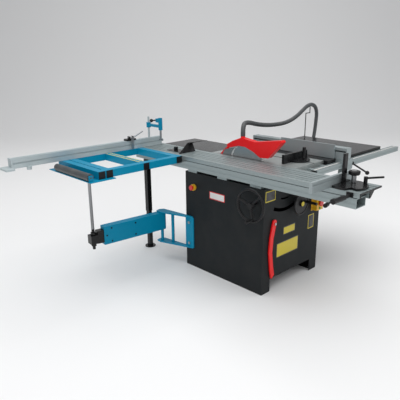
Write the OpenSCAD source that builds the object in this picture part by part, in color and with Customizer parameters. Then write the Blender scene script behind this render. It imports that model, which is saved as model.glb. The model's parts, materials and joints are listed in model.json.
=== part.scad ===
// Sliding-table panel saw. Millimetres, +Z up, +Y the feed direction, +X towards the rip fence.
// The origin is the centre of the four floor bolts, on the floor.

/* [Cabinet] */
// Width of the cabinet, left to right
cab_w = 654; // [600:1:720]
// Depth of the cabinet, front to rear
cab_d = 752; // [720:1:820]
// Height of the cabinet
cab_h = 752; // [740:1:756]
// Thickness of the cabinet's sheet steel
sheet = 2; // [1.5:0.5:3]
// Height of the toe space between the feet
toe_h = 95; // [60:1:120]
// Width of each foot
foot_w = 90; // [60:1:120]
// Radius of the floor bolt holes
floor_hole_r = 6; // [4:0.5:8]

/* [Tables] */
// Height of the table tops above the floor
table_h = 870; // [866:1:900]
// Length of the sliding table
slide_len = 2000; // [1800:10:2200]
// Width of the sliding table
slide_w = 240; // [230:1:260]
// Width of the cast-iron table
main_w = 335; // [320:1:360]
// Thickness of the cast-iron table's skin
skin = 12; // [10:1:14]
// Depth of the cast-iron table's rim
rim_h = 45; // [36:1:50]
// Width of the right extension table
ext_w = 768; // [600:1:900]
// Length of the rear extension table
rear_w = 547; // [400:1:650]
// Thickness of the sheet extension tables' edge
edge_h = 32; // [20:1:36]

/* [Blade] */
// Radius of the saw blade
blade_r = 157.5; // [140:0.5:157.5]
// Thickness of the saw blade's plate
blade_t = 2.2; // [1.8:0.1:2.6]
// Number of teeth
teeth = 40; // [24:1:60]
// Radius of the arbor
arbor_r = 15; // [12:0.5:16]

/* [Fences] */
// Length of the rip fence's rail
rail_len = 1175; // [1000:5:1300]
// Length of the rip fence's body
fence_len = 830; // [700:5:860]
// Length of the crosscut fence
cross_len = 1250; // [1150:5:1400]
// Height of the crosscut fence
cross_h = 68; // [55:1:80]
// Length of the mitre fence at the front of the sliding table
mitre_len = 407; // [360:1:440]

/* [Outrigger] */
// Width of the outrigger frame, left to right
out_w = 708; // [640:1:760]
// Depth of the outrigger frame, front to rear
out_d = 524; // [460:1:560]
// Side of the outrigger's square tube
tube = 50; // [40:1:50]
// Length of the swing arm's box
arm_len = 520; // [460:1:560]
// Height of the swing arm's box
arm_h = 140; // [110:1:150]
// Radius of the support rod
rod_r = 11; // [8:0.5:14]

/* [Handwheels] */
// Radius of the tilt handwheel on the left side
tilt_wheel_r = 107; // [90:1:110]
// Radius of the lift handwheel on the front
lift_wheel_r = 75; // [60:1:80]

/* [Hidden] */
$fn = 48;
fit = 0.05;                          // radial clearance of a running fit
gap = 0.3;                           // clearance between pieces that slide past each other
left = -cab_w / 2;
right = cab_w / 2;
front = -cab_d / 2;
rear = cab_d / 2;
blade_x = left + 232;                // blade plane at rest
blade_y = -22;                       // centre of the blade along the feed
arbor_drop = 52;                     // arbor below the table top with the blade fully up
lift_travel = 106;                   // how far the blade goes down
arc_r = 298;                         // lift handwheel shaft to the tilt axis
arc_a = 22.5;                        // its angle from straight down, at rest
shaft_r = 8;                         // handwheel shafts
shaft_x = arc_r * sin(arc_a);
shaft_z = -arc_r * cos(arc_a);
main_x = blade_x - 23;               // left edge of the cast-iron table
main_y = front - 78;                 // its front edge
main_d = 762;
slide_r = main_x - 4;                // right edge of the sliding table
slide_x = slide_r - slide_w;         // its left edge
slide_y = -42 - slide_len / 2;       // its front end
lip = 28;                            // depth of its left lip
deck = 10;                           // thickness of its top
base_w = 102;                        // slide base
base_top = table_h - 32;
base_bot = table_h - 90;
base_y = slide_y + 16;
base_len = slide_len - 34;
guide_r = 8;                         // guide rods on the slide base
guide_x = [slide_x + 22, slide_x + 80];
ext_x = main_x + main_w;
ext_y = main_y - 34;
ext_d = 728;
slot_x = 95;                         // mitre slot in the cast-iron table
slot_w = 20;
rail_y = ext_y - 57;                 // front face of the rip rail
rail_top = table_h - 22;
rail_h = 36;
rail_d = 55;
fence_x = 325;                       // left side of the rip fence body
carriage_y = rail_y - 25;
out_x = slide_x - 1 - out_w;         // outrigger's left side
out_y = rear;                        // outrigger's front side
out_top = table_h;
plate_z = out_top - tube - 5;        // underside of the roller plate
cross_y = 850;                       // front face of the crosscut fence
cross_x = -170;                      // its right end
cross_z = table_h + 0.5;
cross_t = 40;
pivot = [-395, 590];                 // swing arm's pivot
arm_z = 255;
arm_skew = 5.7;                      // how far the arm points behind straight left
rod_at = [-985, 649];
mitre_c = [-262, -922];              // mitre table's swivel centre
mitre_y = -866;                      // front face of the mitre fence
mitre_x = -544;
trun_in = 100;                       // trunnion ring
trun_out = 130;
trun_t = 14;
trun_y = [-232, 250];                // front faces of the two trunnion rings
rack_r = 213;                        // toothed tilt sector
worm_z = table_h - rack_r - 12;
worm_y = -312;
col_x = 45;                          // lift columns
col_y = [-120, 80];
col_r = 12;
screw_y = -170;                      // lift screw
motor_z = -212;
motor_r = 70;
guard_t = 44;
hose_d = 34;
spigot_top = 1024;
estop = [283, 642];
// Route of the extraction hose, from the guard's spigot to the dust port
hose_path = [
    [-95, 17, 1024.3], [-95, 17, 1045], [-91, 20, 1068], [-78, 28, 1090], [-52, 42, 1104],
    [-10, 58, 1106], [60, 80, 1096], [150, 105, 1076], [260, 130, 1056], [380, 155, 1040],
    [510, 178, 1030], [640, 198, 1028], [760, 214, 1042], [860, 224, 1070], [940, 229, 1106],
    [1005, 231, 1134], [1065, 231, 1143], [1118, 231, 1126], [1152, 232, 1086], [1166, 235, 1030],
    [1166, 240, 940], [1158, 246, 840], [1140, 256, 730], [1110, 270, 610], [1066, 290, 490],
    [1004, 316, 370], [920, 346, 260], [812, 378, 160], [684, 406, 90], [540, 430, 46],
    [400, 448, 27], [270, 462, 30], [190, 468, 60], [144, 471, 104], [112, 472, 130], [92, 472, 140],
    [78.3, 472, 140]
];

// ---- helpers ----
module box_at(lo, hi) translate(lo) cube(hi - lo);
module cyl_x(x, y, z, r, h) translate([x, y, z]) rotate([0, 90, 0]) cylinder(r = r, h = h);
module cyl_y(x, y, z, r, h) translate([x, y, z]) rotate([-90, 0, 0]) cylinder(r = r, h = h);
module cyl_z(x, y, z, r, h) translate([x, y, z]) cylinder(r = r, h = h);
// Section drawn in X and Z, run from y0 to y1
module along_y(y0, y1) translate([0, y1, 0]) rotate([90, 0, 0]) linear_extrude(y1 - y0) children();
// Section drawn in Y and Z, run from x0 to x1
module along_x(x0, x1) translate([x0, 0, 0]) rotate([90, 0, 90]) linear_extrude(x1 - x0) children();
// Round bar from point a to point b
module bar(a, b, r) {
    d = b - a;
    translate(a)
        rotate([0, acos(d[2] / norm(d)), atan2(d[1], d[0])])
            cylinder(r = r, h = norm(d));
}
// Part of a ring between two angles, measured from straight down towards +X
module ring_sector(r1, r2, a1, a2) {
    intersection() {
        difference() {
            circle(r = r2, $fn = 120);
            circle(r = r1, $fn = 120);
        }
        polygon(concat([[0, 0]], [
            for (i = [0:6]) let (a = a1 + (a2 - a1) * i / 6) 2 * r2 * [sin(a), -cos(a)]
        ]));
    }
}
// Moves a section drawn about the tilt axis to its place
module at_axis() translate([blade_x, table_h]) children();
// Rounded slab section
module slab(w, h, r) translate([r, r]) offset(r) square([w - 2 * r, h - 2 * r]);
// Capsule in a plane
module capsule(a, b, r) hull() {
    translate(a) circle(r = r, $fn = 32);
    translate(b) circle(r = r, $fn = 32);
}

// ---- cabinet ----
module side_panel(x) {
    box_at([x, front, 0], [x + sheet, rear, cab_h]);
}
module cabinet_left_panel() color("#26282b") difference() {
    side_panel(left);
    cyl_x(left - 1, worm_y, worm_z, shaft_r + 1, sheet + 2);
    cyl_x(left - 1, estop[0], estop[1], 11, sheet + 2);
}
module cabinet_right_panel() color("#26282b") difference() {
    side_panel(right - sheet);
    for (k = [0:5]) box_at([right - sheet - 1, -120, 240 + 26 * k], [right + 1, 120, 248 + 26 * k]);
}
module cabinet_front_panel() color("#26282b") along_y(front, front + sheet) difference() {
    translate([left + sheet, 0]) square([cab_w - 2 * sheet, cab_h]);
    translate([left + foot_w, -1]) square([cab_w - 2 * foot_w, toe_h + 1]);
    at_axis() ring_sector(arc_r - 12, arc_r + 12, -arc_a - 2.5, arc_a + 2.5);
    at_axis() ring_sector(rack_r + 2, rack_r + 14, -14, 14);
}
module cabinet_rear_panel() color("#26282b") along_y(rear - sheet, rear) difference() {
    translate([left + sheet, 0]) square([cab_w - 2 * sheet, cab_h]);
    translate([0, port_z]) circle(r = port_r - 3);
    for (k = [0:5]) translate([-200, 520 + 22 * k]) square([400, 8]);
}
port_z = 150;
port_r = 50;
module cabinet_frame() color("#2e3134") {
    in_x = cab_w / 2 - sheet;
    in_y = cab_d / 2 - sheet;
    difference() {
        box_at([-in_x, -in_y, cab_h - 4], [in_x, in_y, cab_h]);
        box_at([-255, -322, cab_h - 5], [255, 268, cab_h + 1]);
    }
    difference() {
        for (s = [-1, 1]) translate([s * (in_x - 30), 0, 2]) cube([60, 2 * in_y, 4], center = true);
        for (x = [-bolt_x, bolt_x], y = [-bolt_y, bolt_y]) cyl_z(x, y, -1, floor_hole_r, 8);
    }
    along_x(-in_x, in_x) polygon([
        [-in_y, toe_h], [-in_y + 60, toe_h], [in_y - 3, toe_h - 60], [in_y - 3, toe_h - 57],
        [-in_y + 60, toe_h + 3], [-in_y, toe_h + 3]
    ]);
    difference() {
        union() {
            cyl_x(-in_x, worm_y, worm_z, 18, 24);
            box_at([-62, -in_y, worm_z - 20], [-50, worm_y + 14, worm_z + 10]);
        }
        cyl_x(-in_x - 1, worm_y, worm_z, shaft_r + fit, 300);
    }
}
bolt_x = 290;
bolt_y = 330;

// ---- fixed tables ----
module cast_iron_table() color("#a8aaa9") {
    z0 = table_h - skin;
    difference() {
        union() {
            box_at([main_x, main_y, z0], [ext_x, main_y + main_d, table_h]);
            box_at([main_x, main_y, table_h - rim_h], [ext_x, main_y + 8, z0]);
            box_at([main_x, main_y + main_d - 8, table_h - rim_h], [ext_x, main_y + main_d, z0]);
            box_at([ext_x - 8, main_y, table_h - rim_h], [ext_x, main_y + main_d, z0]);
            box_at([slot_x - 22, main_y, table_h - skin - 12], [slot_x + 22, main_y + main_d, z0]);
            for (p = pads) box_at([p[0], p[1], cab_h], [p[0] + pad_w[0], p[1] + pad_w[1], z0]);
        }
        box_at([slot_x - slot_w / 2, main_y - 1, table_h - 10],
               [slot_x + slot_w / 2, main_y + main_d + 1, table_h + 1]);
        box_at([main_x - 1, -190, z0 - 1], [blade_x + 32, 238, table_h + 1]);
        box_at([main_x - 1, -212, table_h - 4], [blade_x + 40, 260, table_h + 1]);
        for (x = rail_feet) cyl_y(x, main_y - 1, table_h - 30, 4.2, 10);
    }
}
pads = [[-70, -345], [160, -345], [-100, 270], [160, 270]];
pad_w = [40, 28];
rail_feet = [40, 180];
module table_insert() color("#3a3c3e") along_z(table_h - 4, table_h) difference() {
    translate([main_x, -212 + gap]) square([63 - gap, 472 - 2 * gap]);
    translate([blade_x - 8, -180]) square([11.5, 420]);
    translate([blade_x - 8, 126]) square([17.5, 114]);
}
module along_z(z0, z1) translate([0, 0, z0]) linear_extrude(z1 - z0) children();
// Sheet-steel table: a flat top with a turned-down edge
module sheet_table(lo, hi) {
    difference() {
        box_at([lo[0], lo[1], table_h - edge_h], [hi[0], hi[1], table_h]);
        box_at([lo[0] + 3, lo[1] + 3, table_h - edge_h - 1], [hi[0] - 3, hi[1] - 3, table_h - 3]);
    }
}
module rear_extension() color("#1d1f21")
    sheet_table([main_x, main_y + main_d], [ext_x, main_y + main_d + rear_w]);
module right_extension() color("#1d1f21") {
    sheet_table([ext_x, ext_y], [ext_x + ext_w, ext_y + ext_d]);
    post = [ext_x + ext_w + 6, ext_y + ext_d - 8];
    difference() {
        union() {
            cyl_z(post[0], post[1], table_h - edge_h, 4, 238);
            cyl_x(post[0], post[1], table_h - edge_h + 234, 4, 62);
            cyl_z(post[0] + 60, post[1], table_h - edge_h + 234, 4, 51);
        }
    }
    box_at([ext_x + ext_w, post[1] - 8, table_h - edge_h], [ext_x + ext_w + 10, post[1] + 8, table_h - 4]);
}
module rip_rail() color("#b9c4bf") {
    x0 = 5;
    difference() {
        along_x(x0, x0 + rail_len) difference() {
            translate([rail_y, rail_top - rail_h]) square([rail_d, rail_h]);
            translate([rail_y + 4, rail_top - rail_h + 4]) square([rail_d - 8, rail_h - 8]);
            for (y = [14, 36]) translate([rail_y + y, rail_top - 2]) square([5, 3]);
            translate([rail_y - 1, rail_top - 22]) square([3, 8]);
        }
    }
    for (x = rail_feet) difference() {
        box_at([x - 14, rail_y + rail_d, table_h - 42], [x + 14, main_y, table_h - 24]);
        cyl_y(x, rail_y + rail_d - 1, table_h - 30, 4.2, 60);
    }
    for (x = [350, 800]) box_at([x, rail_y + rail_d, table_h - 42], [x + 40, ext_y, table_h - 26]);
}

// ---- slide base, leg ----
module slide_base() color("#9aa1a4") {
    along_y(base_y, base_y + base_len) difference() {
        translate([slide_x, base_bot]) square([base_w, base_top - base_bot]);
        translate([slide_x + 4, base_bot + 4]) square([base_w - 8, base_top - base_bot - 8]);
        translate([slide_x - 1, base_bot + 24]) square([3, 10]);
    }
    for (x = guide_x)
        cyl_y(x, base_y + 30, base_top + guide_r, guide_r, base_len - 60);
    for (y = [-300, 0, 300])
        box_at([left, y - 45, cab_h], [slide_x + base_w - 6, y + 45, base_bot]);
}
leg_at = [slide_x + base_w / 2, 866];
leg_w = 40;
leg_split = 320;
module rear_leg() color("#141416") {
    translate([leg_at[0], leg_at[1], 0]) {
        difference() {
            translate([-leg_w / 2, -leg_w / 2, leg_split]) cube([leg_w, leg_w, base_bot - leg_split]);
            translate([-leg_w / 2 + 3, -leg_w / 2 + 3, leg_split - 1])
                cube([leg_w - 6, leg_w - 6, base_bot - leg_split - 5]);
        }
        translate([-leg_w / 2 + 3, -leg_w / 2 + 3, 8])
            cube([leg_w - 6, leg_w - 6, leg_split + 160]);
        cylinder(r = 45, h = 8);
    }
}

// ---- tilting gear, fixed part ----
module trunnion_rings() color("#6d6a60") for (y = trun_y) {
    along_y(y, y + trun_t) at_axis() ring_sector(trun_in, trun_out, -72, 72);
    box_at([blade_x + 98, y, table_h - 42], [blade_x + 130, y + trun_t, table_h - skin]);
}

// ---- dust port, hose ----
module dust_port() color("#202224") {
    difference() {
        union() {
            cyl_y(0, rear, port_z, port_r, 160);
            cyl_y(0, rear, port_z, port_r + 3, 120);
            cyl_y(0, rear, port_z, port_r + 16, 4);
            cyl_x(0, port_hose_y, port_z - 10, hose_d / 2 + 3, 78);
        }
        cyl_y(0, rear - 1, port_z, port_r - 3, 162);
        cyl_x(0, port_hose_y, port_z - 10, hose_d / 2 - 1, 80);
        for (a = [45:90:315])
            cyl_y((port_r + 9) * cos(a), rear - 1, port_z + (port_r + 9) * sin(a), 2.6, 6);
    }
}
port_hose_y = 472;
// Ring of points square to the path at point i
function unit(v) = v / norm(v);
function path_dir(p, i) =
    i == 0 ? unit(p[1] - p[0])
    : i == len(p) - 1 ? unit(p[i] - p[i - 1])
    : unit(p[i + 1] - p[i - 1]);
function side_of(d) = abs(d[1]) < 0.9 ? unit(cross(d, [0, 1, 0])) : unit(cross(d, [1, 0, 0]));
module tube_along(p, r, n) {
    rings = [
        for (i = [0:len(p) - 1])
            let (d = path_dir(p, i), u = unit(cross(d, [0, 1, 0])), v = cross(d, u))
                for (k = [0:n - 1]) p[i] + r * (cos(360 * k / n) * u + sin(360 * k / n) * v)
    ];
    last = len(p) - 1;
    sides = [
        for (i = [0:last - 1], k = [0:n - 1])
            [i * n + k, i * n + (k + 1) % n, (i + 1) * n + (k + 1) % n, (i + 1) * n + k]
    ];
    ends = [[for (k = [n - 1:-1:0]) k], [for (k = [0:n - 1]) last * n + k]];
    polyhedron(rings, concat(sides, ends), convexity = 8);
}
module extraction_hose() color("#6f7678") tube_along(hose_path, hose_d / 2, 10);

// ---- switches and fasteners ----
box_lo = [225, front - 45, 490];
box_hi = [305, front, 600];
stop_at = [262, 545];
start_at = [262, 506];
module switch_boxes() color("#d8b021") {
    difference() {
        union() {
            box_at(box_lo, box_hi);
            box_at([box_lo[0] - 6, front - 4, box_lo[2] - 6], [box_hi[0] + 6, front, box_hi[2] + 6]);
        }
        cyl_y(stop_at[0], box_lo[1] - 1, stop_at[1], 10 + gap, 30);
        cyl_y(start_at[0], box_lo[1] - 1, start_at[1], 8 + gap, 30);
    }
    difference() {
        cyl_x(left - 18, estop[0], estop[1], 24, 18);
        cyl_x(left - 19, estop[0], estop[1], 9 + gap, 20);
    }
}
module emergency_button() color("#c8252b") {
    cyl_x(left - 37, estop[0], estop[1], 19, 13);
    cyl_x(left - 24, estop[0], estop[1], 9, 18);
}
module stop_button() color("#c8252b") {
    cyl_y(stop_at[0], box_lo[1] - 18, stop_at[1], 22, 12);
    cyl_y(stop_at[0], box_lo[1] - 6, stop_at[1], 10, 28);
}
module start_button() color("#2f8f46") {
    cyl_y(start_at[0], box_lo[1] - 5, start_at[1], 8, 24);
}
stick_pin = [-219, 497];
// Hexagon screw with its head at the origin and its shank running to +Z
module screw(head_r, head_h, r, l) {
    translate([0, 0, -head_h]) cylinder(r = head_r, h = head_h, $fn = 6);
    cylinder(r = r, h = l);
}
module machine_bolts() color("#8e9193") {
    for (x = rail_feet) translate([x, main_y + 8, table_h - 30])
        rotate([90, 0, 0]) screw(8, 5, 4, main_y + 4 - rail_y - rail_d);
    for (z = bracket_bolts) translate([plate_x, bracket_y, z]) rotate([0, 90, 0]) screw(11, 7, 6, left - plate_x);
    for (a = [45:90:315])
        translate([(port_r + 9) * cos(a), rear + 4, port_z + (port_r + 9) * sin(a)])
            rotate([90, 0, 0]) screw(5, 3, 2.5, 4);
    translate([stick_pin[0], stick_y - 2, stick_pin[1]]) rotate([-90, 0, 0]) screw(10, 4, 5, front - stick_y + 2);
}
stick_y = front - 14;
stick_t = 10;
module push_stick() color("#d3202a") difference() {
    along_y(stick_y, stick_y + stick_t) difference() {
        union() {
            capsule([stick_pin[0] - 3, 508], [-248, 400], 19);
            capsule([-248, 400], [-256, 300], 18);
            capsule([-256, 300], [-240, 180], 17);
            capsule([-240, 180], [-226, 116], 18);
        }
        translate([-222, 90]) rotate(40) square([40, 18]);
    }
    cyl_y(stick_pin[0], stick_y - 1, stick_pin[1], 5 + gap, stick_t + 2);
}

// ---- sliding table ----
rib_w = 10;
module slide_section() {
    translate([slide_x, table_h - deck]) square([slide_w, deck]);
    translate([slide_x, table_h - lip]) square([8, lip]);
    polygon([
        [slide_x + base_w + 4, table_h - deck + 1], [slide_x + base_w + 4, table_h - 48],
        [slide_x + base_w + 14, table_h - 48], [slide_r - 85, table_h - deck + 1]
    ]);
}
module sliding_table() color("#b3bcc0") difference() {
    along_y(slide_y, slide_y + slide_len) difference() {
        slide_section();
        for (x = [40, 78, 116, 154, 192]) translate([slide_x + x - rib_w / 2, table_h - 3])
            square([rib_w, 4]);
    }
    for (p = [swing_at, mitre_c]) cyl_z(p[0], p[1], table_h - deck - 1, 6 + fit, deck + 2);
}
swing_at = [-190, cross_y + cross_t / 2];
bearing_y = [-240, -120, 0, 120];
module slide_bearings() color("#2b2d30") for (x = guide_x, y = bearing_y) difference() {
    box_at([x - 12, y - 20, base_top + guide_r], [x + 12, y + 20, table_h - deck]);
    cyl_y(x, y - 21, base_top + guide_r, guide_r + fit, 42);
}
handle_y = slide_y + 57;
module push_handle() color("#1b1c1e") {
    box_at([slide_x - 5, handle_y - 20, table_h - 27], [slide_x, handle_y + 20, table_h - 1]);
    cyl_x(slide_x - 60, handle_y, table_h - 20, 9, 56);
    cyl_x(slide_x - 170, handle_y, table_h - 20, 14, 112);
}
lock_at = [-890, 800];
lock_root = [slide_x - 10, lock_at[0], lock_at[1]];
lock_tip = lock_root + [-122, -29, 7];
module table_lock_lever() color("#1b1c1e") {
    cyl_x(slide_x - 16, lock_at[0], lock_at[1], 12, 15.7);
    bar(lock_root, lock_tip, 6);
    bar(lock_root + 0.7 * (lock_tip - lock_root), lock_tip, 12);
}

// ---- outrigger ----
rail_in = out_top - tube;
rail_xs = [out_x, out_x + 58, out_x + 358];
rail_r = out_x + out_w - tube;
roller_x = out_x - 64;
roller_z = plate_z + 30;
roller_y = [370, 800];
module outrigger_frame() color("#1789b4") {
    difference() {
        union() {
            for (x = rail_xs) box_at([x, out_y, rail_in], [x + tube, out_y + out_d, out_top]);
            box_at([rail_r, out_y, rail_in], [rail_r + tube, out_y + out_d, out_top]);
            for (y = [out_y, out_y + out_d - tube])
                box_at([out_x, y, rail_in], [out_x + out_w, y + tube, out_top]);
        }
        for (x = concat(rail_xs, [rail_r])) box_at([x + wall, out_y - 1, rail_in + wall],
            [x + tube - wall, out_y + out_d + 1, out_top - wall]);
        for (y = [out_y, out_y + out_d - tube]) box_at([out_x + wall, y + wall, rail_in + wall],
            [out_x + out_w - wall, y + tube - wall, out_top - wall]);
    }
    for (y = [out_y, out_y + out_d - tube])
        box_at([out_x + out_w - 1, y, table_h - lip + 1], [slide_x, y + tube, out_top - 1]);
    box_at([out_x - 82, out_y - 36, plate_z], [out_x + 108, out_y + out_d - 12, plate_z + 4.5]);
    for (y = [out_y, out_y + out_d - 60])
        box_at([out_x, y, plate_z + 4], [out_x + 100, y + 30, rail_in + 0.5]);
    for (y = [roller_y[0] - 7, roller_y[1] + 1]) difference() {
        box_at([roller_x - 14, y, plate_z + 4], [roller_x + 14, y + 6, roller_z + 14]);
        cyl_y(roller_x, y - 1, roller_z, 6 + fit, 8);
    }
}
wall = 3;
module end_plugs() color("#1b1c1e") {
    for (x = concat(rail_xs, [rail_r]))
        box_at([x + 1, out_y - 4, rail_in + 1], [x + tube - 1, out_y, out_top - 1]);
    for (y = [slide_y - 4, slide_y + slide_len]) along_y(y, y + 4) slide_section();
}
module support_roller() color("#2b2d30") {
    cyl_y(roller_x, roller_y[0], roller_z, 24.5, roller_y[1] - roller_y[0]);
    cyl_y(roller_x, roller_y[0] - 8, roller_z, 6, roller_y[1] - roller_y[0] + 16);
}

// ---- crosscut fence ----
post_at = [-270, cross_y + 28];
clamp_y = 727;
module crosscut_fence() color("#aab0b2") {
    along_x(cross_x - cross_len, cross_x) difference() {
        translate([cross_y, cross_z]) square([cross_t, cross_h]);
        translate([cross_y - 1, cross_z + cross_h / 2 - 5]) square([9, 10]);
        translate([cross_y + 12, cross_z + cross_h - 6]) square([10, 7]);
        translate([cross_y + 10, cross_z + 5]) square([cross_t - 14, cross_h / 2 - 12]);
    }
    cyl_z(swing_at[0], swing_at[1], table_h - deck, 6, 16);
    cyl_z(post_at[0], post_at[1], cross_z + cross_h - 5, 8, 1106 - cross_z - cross_h + 5);
    cap = cross_x - cross_len;
    box_at([cap - 12, cross_y - 4, cross_z], [cap, cross_y + cross_t + 4, cross_z + cross_h + 2]);
    box_at([cap - 70, cross_y - 60, cross_z], [cap - 12, cross_y + cross_t + 20, cross_z + 12]);
    cyl_z(cross_x - cross_len + 100, cross_y - 20, cross_z - 15, 16, 15);
    box_at([cross_x - cross_len + 86, cross_y - 36, cross_z], [cross_x - cross_len + 114, cross_y, cross_z + 8]);
    box_at([cross_x, cross_y + 3, cross_z], [cross_x + 10, cross_y + cross_t - 3, cross_z + cross_h]);
    cyl_x(cross_x + 10, cross_y + cross_t / 2, cross_z + cross_h / 2, 13, 22);
}
stop_x = -469;
stop_z = cross_z + cross_h + gap;
module stop_head() color("#24272a") difference() {
    union() {
        box_at([stop_x - 42, cross_y - 6, stop_z], [stop_x + 42, cross_y + cross_t, stop_z + 14]);
        box_at([stop_x - 20, cross_y - 6, stop_z + 10], [stop_x + 20, cross_y + 20, stop_z + 34]);
        box_at([stop_x - 30, cross_y + 12 + gap, stop_z - 5], [stop_x + 30, cross_y + 22 - gap, stop_z + 1]);
    }
    box_at([stop_x - 12, cross_y - 7, stop_z + 14], [stop_x + 12, cross_y + 21, stop_z + 35]);
    cyl_x(stop_x - 21, cross_y + 6, stop_z + 24, 4 + fit, 42);
}
module flip_stop() color("#9aa1a3") {
    cyl_x(stop_x - 26, cross_y + 6, stop_z + 24, 4, 56);
    cyl_x(stop_x - 12 + gap, cross_y + 6, stop_z + 24, 8, 24 - 2 * gap);
    box_at([stop_x - 10, cross_y - 20, stop_z + 18], [stop_x + 10, cross_y + 6, stop_z + 26]);
    box_at([stop_x - 10, cross_y - 20, cross_z + 2], [stop_x + 10, cross_y - 15, stop_z + 26]);
    bar([stop_x + 28, cross_y + 6, stop_z + 24], [stop_x + 100, cross_y - 20, stop_z + 66], 6);
}
arm_top = 1106;
module clamp_arm() color("#1789b4") {
    difference() {
        union() {
            cyl_z(post_at[0], post_at[1], 1020, 18, 40);
            box_at([post_at[0] - 10, clamp_y, 1030], [post_at[0] + 10, post_at[1], 1050]);
            cyl_z(post_at[0], clamp_y, 1012, 16, arm_top - 1012);
            for (s = [-1, 1]) translate([post_at[0] + s * 10 - 3, clamp_y + 2, 1070]) cube([6, 42, 30]);
        }
        cyl_z(post_at[0], post_at[1], 1019, 8 + fit, 42);
        cyl_z(post_at[0], clamp_y, 1011, 8 + fit, arm_top - 1010);
        cyl_x(post_at[0] - 14, clamp_y + 34, 1086, 4 + fit, 28);
        box_at([post_at[0] - 7, clamp_y + 16.5, 1062], [post_at[0] + 7, clamp_y + 50, arm_top]);
    }
}
module clamp_lever() color("#1b1c1e") {
    cyl_x(post_at[0] - 13, clamp_y + 34, 1086, 4, 26);
    cyl_x(post_at[0] - 6.5, clamp_y + 34, 1086, 8, 13);
    bar([post_at[0], clamp_y + 38, 1086], [post_at[0], clamp_y + 113, 1076], 5.5);
    translate([post_at[0], clamp_y + 113, 1076]) sphere(r = 14);
}
module clamp_plunger() color("#9aa1a3") {
    cyl_z(post_at[0], clamp_y, 942, 8, 128);
    cyl_z(post_at[0], clamp_y, 935, 15, 8);
}

// ---- mitre table at the front of the sliding table ----
mitre_z = table_h + gap;
knob_at = [-215, -922];
mlever_at = [-200, -985];
module mitre_table() color("#202327") difference() {
    union() {
        along_z(mitre_z, mitre_z + 12) difference() {
            translate(mitre_c) circle(r = 104, $fn = 96);
            translate([mitre_c[0] - 110, mitre_y]) square([220, 60]);
            translate([mitre_c[0] - 160, mitre_c[1] - 70]) rotate(-20) square([90, 60]);
        }
        cyl_z(mitre_c[0], mitre_c[1], table_h - 9, 6, 12);
        box_at([mitre_c[0] - 6, mitre_y - 22, mitre_z + 10], [mitre_c[0] + 26, mitre_y - 8, 1050]);
        cyl_z(mlever_at[0], mlever_at[1], mitre_z + 10, 11, 26);
        box_at([mitre_c[0] + 2, mitre_c[1] + 40, mitre_z + 6], [mitre_c[0] + 80, mitre_y, mitre_z + 16]);
    }
    cyl_z(knob_at[0], knob_at[1], mitre_z + 4, 8 + fit, 30);
    cyl_z(mlever_at[0], mlever_at[1], mitre_z + 20, 5 + fit, 30);
}
module mitre_knob() color("#24272a") {
    cyl_z(knob_at[0], knob_at[1], mitre_z + 5, 8, 60);
    cyl_z(knob_at[0], knob_at[1], mitre_z + 14, 14, 46);
    cyl_z(knob_at[0], knob_at[1], mitre_z + 58, 35, 24);
}
module mitre_lever() color("#24272a") {
    cyl_z(mlever_at[0], mlever_at[1], mitre_z + 22, 5, 20);
    cyl_z(mlever_at[0], mlever_at[1], mitre_z + 36 + gap, 11, 18);
    bar([mlever_at[0], mlever_at[1], mitre_z + 46], [-138, -1060, mitre_z + 54], 6);
}
module mitre_fence() color("#aab0b2") {
    fz = mitre_z + gap;
    along_x(mitre_x, mitre_x + mitre_len) difference() {
        translate([mitre_y, fz]) square([18, 62]);
        translate([mitre_y + 13, fz + 26]) square([6, 10]);
        translate([mitre_y - 1, fz + 40]) square([6, 8]);
    }
    for (x = [mitre_x - 4, mitre_x + mitre_len]) box_at([x, mitre_y - 1, fz], [x + 4, mitre_y + 19, fz + 63]);
}

// ---- edging shoe ----
module edging_shoe() color("#26282b") {
    box_at([-300, 430, table_h], [-215, 620, table_h + 4]);
    hull() {
        box_at([-338, 432, table_h], [-172, 436, table_h + 1]);
        box_at([-217, 468, 934], [-169, 472, 936]);
    }
    hull() {
        box_at([-217, 466, 930], [-169, 472, 936]);
        box_at([-134, 345, 958], [-130, 348, 960]);
    }
    cyl_z(-258, 560, table_h + 4, 16, 26);
}

// ---- swing arm ----
plate_x = left - 8;
bracket_y = 335;
bracket_bolts = [187, 354];
module arm_bracket() color("#1789b4") difference() {
    union() {
        box_at([plate_x, 290, arm_z - 100], [left, rear, arm_z + arm_h + 3]);
        for (z = [arm_z - 106, arm_z + arm_h + 1]) along_z(z, z + 10)
            polygon([[left, 300], [left, rear], [pivot[0] + 40, pivot[1] + 20],
                     [pivot[0] + 10, pivot[1] + 40], [pivot[0] - 30, pivot[1] + 30],
                     [pivot[0] - 34, pivot[1] - 10], [plate_x, 300]]);
        cyl_z(pivot[0], pivot[1], arm_z - 100, 12, arm_h + 105);
        cyl_z(pivot[0] + 34, pivot[1] - 92, arm_z - 100, 12, arm_h + 105);
    }
    for (z = bracket_bolts) cyl_x(plate_x - 1, bracket_y, z, 6.2, 10);
}
module on_arm() translate([pivot[0], pivot[1], arm_z]) rotate([0, 0, 180 - arm_skew]) children();
module swing_arm() color("#1789b4") difference() {
    on_arm() {
        cylinder(r = 30, h = arm_h);
        translate([0, -30, 0]) cube([arm_len, 60, arm_h]);
    }
    cyl_z(pivot[0], pivot[1], arm_z - 1, 12 + fit, arm_h + 2);
    on_arm() translate([80, -24, 20]) cube([arm_len, 48, 96]);
}
rod_l = norm(rod_at - pivot);
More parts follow.
